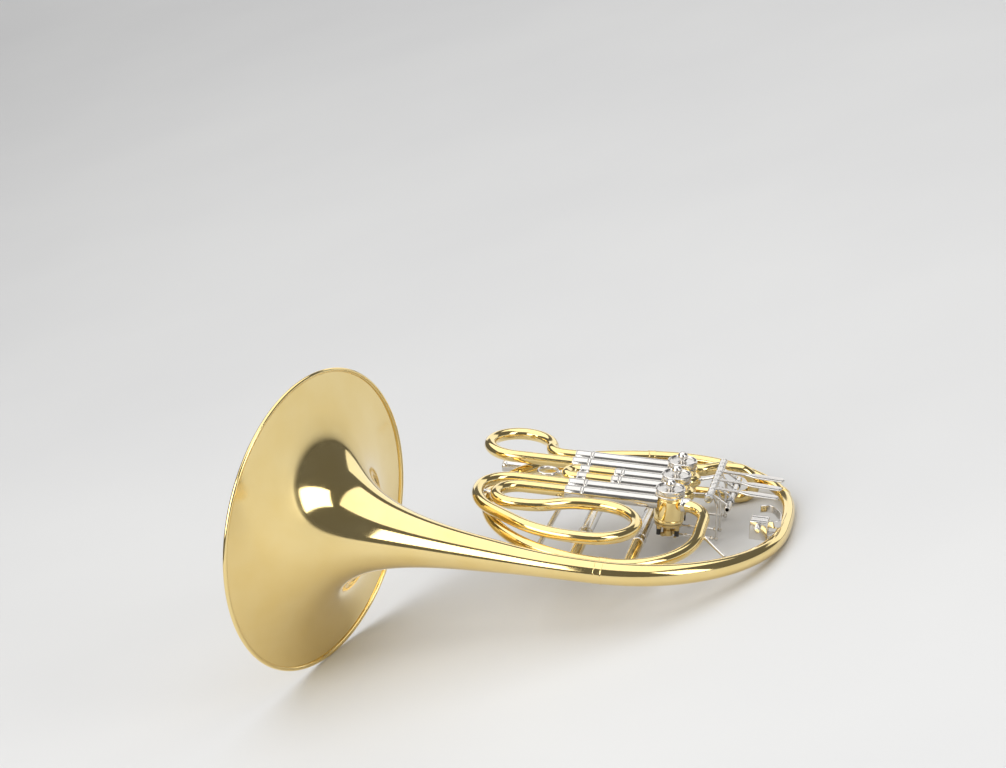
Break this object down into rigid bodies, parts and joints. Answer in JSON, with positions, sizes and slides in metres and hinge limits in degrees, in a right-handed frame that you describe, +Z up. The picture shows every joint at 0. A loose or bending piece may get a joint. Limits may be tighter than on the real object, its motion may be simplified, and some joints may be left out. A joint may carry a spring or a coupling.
{
  "type": "french horn",
  "caption": "French horn: a coiled brass tube that widens into a broad bell, with rotary valves worked by finger keys, pull-out tuning slides and a little-finger hook.",
  "frame": {"origin": "middle of the bottom of the bounding box, on the table the horn lies on", "axes": "+Z up from the table; +X along the valve slides towards the finger keys, and down by the angle at which the horn lies; +Y across the valves, away from the finger hook; the bell opens towards -X"},
  "size_m": [0.5186, 0.4076, 0.3045],
  "materials": {
    "lacquered_brass": "yellow brass, polished under clear gold lacquer",
    "nickel_silver": "polished nickel silver, a white alloy of copper that weighs what brass does",
    "valve_brass": "plain machined brass",
    "steel": "polished spring steel",
    "stop_rubber": "matt black bumper rubber"
  },
  "bodies": {
    "horn": {"body_ring": "lacquered_brass", "bell_branch": "lacquered_brass", "bell_flare": "lacquered_brass", "bell_rim_wire": "lacquered_brass", "body_ferrules": "lacquered_brass", "outlet_tube": "lacquered_brass", "leadpipe": "lacquered_brass", "leadpipe_bend": "lacquered_brass", "mouthpiece_receiver": "nickel_silver", "valve_inlet_tube": "lacquered_brass", "tuning_outer_tubes": "nickel_silver", "slide_1_outer_tubes": "nickel_silver", "slide_2_outer_tubes": "nickel_silver", "slide_3_outer_tubes": "nickel_silver", "valve_1_casing": "lacquered_brass", "valve_2_casing": "lacquered_brass", "valve_3_casing": "lacquered_brass", "bearing_plates": "valve_brass", "valve_cap_1": "nickel_silver", "valve_cap_2": "nickel_silver", "valve_cap_3": "nickel_silver", "stop_plate_1": "valve_brass", "stop_plate_2": "valve_brass", "stop_plate_3": "valve_brass", "stop_corks": "stop_rubber", "knuckle_tubes": "lacquered_brass", "key_frame": "nickel_silver", "hinge_collars": "nickel_silver", "hinge_rod": "steel", "key_braces": "nickel_silver", "key_springs": "steel", "body_stays": "nickel_silver", "hook_block": "nickel_silver", "hook_base": "nickel_silver"},
    "rotor_1": {"rotor_1": "valve_brass", "stop_arm_1": "valve_brass"},
    "key_1": {"key_1": "nickel_silver"},
    "link_rod_1": {"link_rod_1": "nickel_silver"},
    "rotor_2": {"rotor_2": "valve_brass", "stop_arm_2": "valve_brass"},
    "key_2": {"key_2": "nickel_silver"},
    "link_rod_2": {"link_rod_2": "nickel_silver"},
    "rotor_3": {"rotor_3": "valve_brass", "stop_arm_3": "valve_brass"},
    "key_3": {"key_3": "nickel_silver"},
    "link_rod_3": {"link_rod_3": "nickel_silver"},
    "slide_1": {"slide_1_legs": "nickel_silver", "slide_1_crook": "lacquered_brass"},
    "slide_2": {"slide_2_legs": "nickel_silver", "slide_2_crook": "lacquered_brass", "slide_2_ferrules": "nickel_silver", "slide_2_pull_ring": "nickel_silver"},
    "slide_3": {"slide_3_legs": "nickel_silver", "slide_3_crook": "lacquered_brass", "slide_3_brace": "lacquered_brass"},
    "tuning_slide": {"tuning_slide_legs": "nickel_silver", "tuning_slide_bow": "lacquered_brass"},
    "finger_hook": {"finger_hook": "nickel_silver"},
    "hook_screw": {"hook_screw": "nickel_silver"}
  },
  "joints": [
    {"name": "key_1_press", "type": "hinge", "parent": "horn", "child": "key_1", "pos_m": [0.1868, 0.10986, 0.05572], "axis": [0, 0.9998, -0.0215], "range_deg": [0, 13.9], "stiffness_Nm_per_rad": 0.04, "springref_deg": -28.65},
    {"name": "rotor_1_turn", "type": "hinge", "parent": "horn", "child": "rotor_1", "pos_m": [0.14235, 0.12492, 0.05375], "axis": [0.3249, 0.0203, 0.9455], "range_deg": [-90, 0]},
    {"name": "link_rod_1_pivot", "type": "hinge", "parent": "key_1", "child": "link_rod_1", "pos_m": [0.17699, 0.11617, 0.00396], "axis": [0, 0.9998, -0.0215], "range_deg": [-13.9, 0]},
    {"name": "key_2_press", "type": "hinge", "parent": "horn", "child": "key_2", "pos_m": [0.1868, 0.08557, 0.05624], "axis": [0, 0.9998, -0.0215], "range_deg": [0, 13.9], "stiffness_Nm_per_rad": 0.04, "springref_deg": -28.65},
    {"name": "rotor_2_turn", "type": "hinge", "parent": "horn", "child": "rotor_2", "pos_m": [0.14235, 0.08553, 0.05459], "axis": [0.3249, 0.0203, 0.9455], "range_deg": [-90, 0]},
    {"name": "link_rod_2_pivot", "type": "hinge", "parent": "key_2", "child": "link_rod_2", "pos_m": [0.17699, 0.07678, 0.0048], "axis": [0, 0.9998, -0.0215], "range_deg": [-13.9, 0]},
    {"name": "key_3_press", "type": "hinge", "parent": "horn", "child": "key_3", "pos_m": [0.1868, 0.06117, 0.05677], "axis": [0, 0.9998, -0.0215], "range_deg": [0, 13.9], "stiffness_Nm_per_rad": 0.04, "springref_deg": -28.65},
    {"name": "rotor_3_turn", "type": "hinge", "parent": "horn", "child": "rotor_3", "pos_m": [0.14235, 0.04614, 0.05544], "axis": [0.3249, 0.0203, 0.9455], "range_deg": [0, 90]},
    {"name": "link_rod_3_pivot", "type": "hinge", "parent": "key_3", "child": "link_rod_3", "pos_m": [0.17699, 0.05275, 0.00532], "axis": [0, 0.9998, -0.0215], "range_deg": [-13.9, 0]},
    {"name": "slide_1_pull", "type": "slide", "parent": "horn", "child": "slide_1", "axis": [-0.9457, 0.007, 0.3248], "range_m": [0, 0.06]},
    {"name": "slide_2_pull", "type": "slide", "parent": "horn", "child": "slide_2", "axis": [-0.9457, 0.007, 0.3248], "range_m": [0, 0.025]},
    {"name": "slide_3_pull", "type": "slide", "parent": "horn", "child": "slide_3", "axis": [-0.9457, 0.007, 0.3248], "range_m": [0, 0.05]},
    {"name": "tuning_slide_pull", "type": "slide", "parent": "horn", "child": "tuning_slide", "axis": [0, -0.9998, 0.0215], "range_m": [0, 0.05]},
    {"name": "finger_hook_shift", "type": "slide", "parent": "horn", "child": "finger_hook", "axis": [0.9457, -0.007, -0.3248], "range_m": [-0.004, 0.006]},
    {"name": "hook_screw_turn", "type": "hinge", "parent": "horn", "child": "hook_screw", "pos_m": [0.23539, 0.01195, 0.02843], "axis": [0, 0.9998, -0.0215], "range_deg": [-180, 180]}
  ],
  "couplings": [
    {"joint": "rotor_1_turn", "follows": "key_1_press", "ratio": -6.4728},
    {"joint": "link_rod_1_pivot", "follows": "key_1_press", "ratio": -1},
    {"joint": "rotor_2_turn", "follows": "key_2_press", "ratio": -6.4728},
    {"joint": "link_rod_2_pivot", "follows": "key_2_press", "ratio": -1},
    {"joint": "rotor_3_turn", "follows": "key_3_press", "ratio": 6.4728},
    {"joint": "link_rod_3_pivot", "follows": "key_3_press", "ratio": -1}
  ]
}
